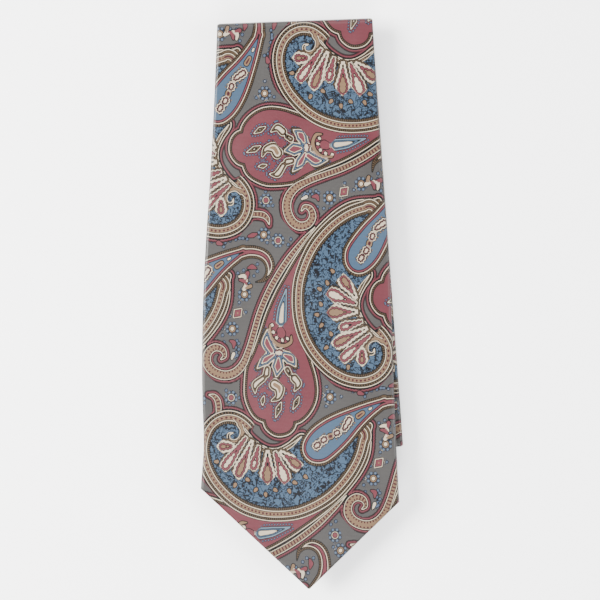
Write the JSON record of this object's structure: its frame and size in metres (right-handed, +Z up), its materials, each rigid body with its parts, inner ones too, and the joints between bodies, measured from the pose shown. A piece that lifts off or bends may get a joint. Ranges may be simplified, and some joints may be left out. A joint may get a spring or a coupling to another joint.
{
  "type": "necktie",
  "caption": "Wide blade necktie in paisley silk, folded flat at its creases; it opens out to its full length.",
  "frame": {"origin": "middle of the folded tie's outline, on the surface it lies on", "axes": "+X across the tie to the right, +Y along the blade from its tip to the top crease, +Z up out of the blade's face"},
  "size_m": [0.0999, 0.2812, 0.0165],
  "materials": {
    "paisley_silk": "printed silk twill, soft sheen",
    "wool_interlining": "brushed wool canvas",
    "tipping_cloth": "plain woven lining with a low sheen",
    "thread": "twisted sewing thread",
    "label_ribbon": "woven satin ribbon, blank",
    "care_ribbon": "woven ribbon, blank"
  },
  "bodies": {
    "panel_6_tail": {"tail_shell_6": "paisley_silk", "interlining_6": "wool_interlining", "slip_stitches_6": "thread", "tail_tipping": "tipping_cloth", "tail_hem_stitches": "thread", "tail_bar_tack": "thread", "silk_turn_5": "paisley_silk", "interlining_turn_5": "wool_interlining"},
    "panel_5_neck_tail": {"neck_shell_5": "paisley_silk", "tail_shell_5": "paisley_silk", "neck_tail_seam": "paisley_silk", "interlining_5": "wool_interlining", "slip_stitches_5": "thread", "silk_turn_4": "paisley_silk", "interlining_turn_4": "wool_interlining"},
    "panel_4_neck": {"neck_shell_4": "paisley_silk", "interlining_4": "wool_interlining", "slip_stitches_4": "thread", "silk_turn_3": "paisley_silk", "interlining_turn_3": "wool_interlining"},
    "panel_3_blade_neck": {"blade_shell_3": "paisley_silk", "neck_shell_3": "paisley_silk", "blade_neck_seam": "paisley_silk", "interlining_3": "wool_interlining", "slip_stitches_3": "thread", "silk_turn_2": "paisley_silk", "interlining_turn_2": "wool_interlining"},
    "panel_2_blade": {"blade_shell_2": "paisley_silk", "interlining_2": "wool_interlining", "slip_stitches_2": "thread", "silk_turn_1": "paisley_silk", "interlining_turn_1": "wool_interlining"},
    "panel_1_blade": {"blade_shell_1": "paisley_silk", "interlining_1": "wool_interlining", "slip_stitches_1": "thread", "blade_tipping": "tipping_cloth", "blade_hem_stitches": "thread", "blade_bar_tack": "thread", "keeper_loop": "paisley_silk", "keeper_tacks": "thread", "maker_label": "label_ribbon", "maker_label_stitches": "thread", "care_label": "care_ribbon", "care_label_stitches": "thread"}
  },
  "joints": [
    {"name": "crease_5", "type": "hinge", "parent": "panel_6_tail", "child": "panel_5_neck_tail", "pos_m": [-0.00001, 0.13237, 0.0025], "axis": [-0.9998, -0.0175, 0], "range_deg": [0, 180]},
    {"name": "crease_4", "type": "hinge", "parent": "panel_5_neck_tail", "child": "panel_4_neck", "pos_m": [0.00399, -0.09863, 0.0052], "axis": [0.9994, 0.0349, 0], "range_deg": [0, 180]},
    {"name": "crease_3", "type": "hinge", "parent": "panel_4_neck", "child": "panel_3_blade_neck", "pos_m": [-0.00201, 0.13437, 0.0079], "axis": [-0.9976, -0.0698, 0], "range_deg": [0, 180]},
    {"name": "crease_2", "type": "hinge", "parent": "panel_3_blade_neck", "child": "panel_2_blade", "pos_m": [0.02049, -0.07163, 0.0106], "axis": [0.9936, 0.1132, 0], "range_deg": [0, 180]},
    {"name": "crease_1", "type": "hinge", "parent": "panel_2_blade", "child": "panel_1_blade", "pos_m": [-0.00351, 0.13637, 0.01365], "axis": [-0.9993, -0.0366, 0], "range_deg": [0, 180]}
  ],
  "couplings": [
    {"joint": "crease_4", "follows": "crease_5", "ratio": 1},
    {"joint": "crease_2", "follows": "crease_3", "ratio": 1}
  ]
}
